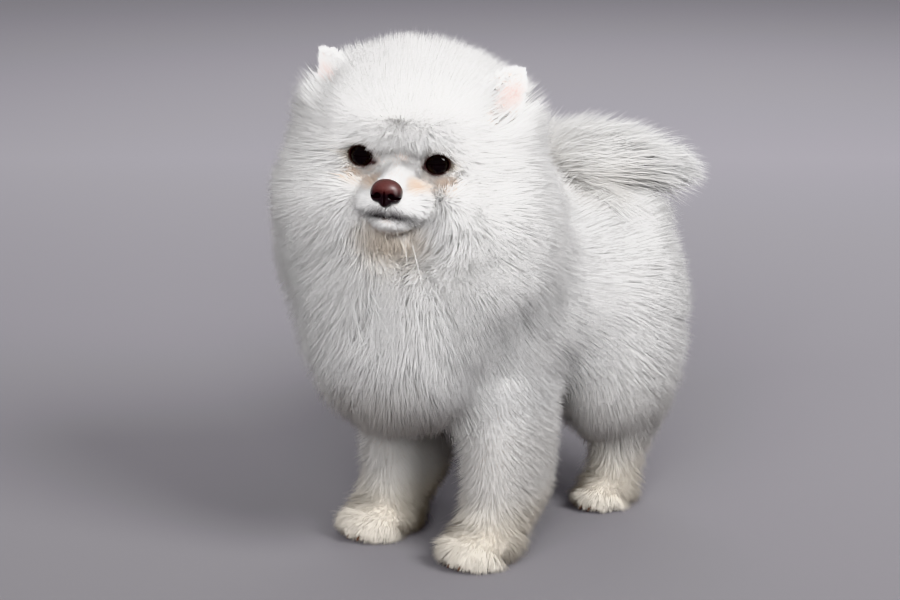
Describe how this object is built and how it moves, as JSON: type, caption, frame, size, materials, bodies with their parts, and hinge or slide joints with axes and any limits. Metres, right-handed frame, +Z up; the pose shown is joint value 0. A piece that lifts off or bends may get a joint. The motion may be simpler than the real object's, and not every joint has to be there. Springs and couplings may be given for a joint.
{
  "type": "pomeranian",
  "caption": "Still, life-size model of a small white pomeranian standing on all fours, coat clipped round, head turned a little to its left, plumed tail over the back.",
  "frame": {"origin": "middle of the bottom of the whole animal's box, on the floor it stands on", "axes": "+Z up, the animal faces -Y, its left side is +X"},
  "size_m": [0.1892, 0.3122, 0.3179],
  "materials": {
    "coat": "long soft double coat, white with a faint cream cast in its depth",
    "face_coat": "short close fur, white, with peach tear stains beside the muzzle and grey skin showing at the lips",
    "paw_coat": "short plush fur, white tinged with cream",
    "ear": "very short fur over pink skin",
    "skin": "matt pale skin under the coat, dark grey-brown round the eyes and at the lips",
    "nose": "moist pebbled nose leather, liver brown above, near black below",
    "eye": "wet, near-black iris and pupil under a clear cornea",
    "claw": "smooth horn, brown"
  },
  "bodies": {
    "root": {"head": "coat", "neck": "coat", "trunk": "coat", "tail": "coat", "muzzle": "face_coat", "nose": "nose", "eye_left": "eye", "eye_right": "eye", "ear_left": "ear", "ear_right": "ear", "foreleg_left": "coat", "foreleg_right": "coat", "hindleg_left": "coat", "hindleg_right": "coat", "forepaw_left": "paw_coat", "forepaw_right": "paw_coat", "hindpaw_left": "paw_coat", "hindpaw_right": "paw_coat"}
  },
  "joints": []
}
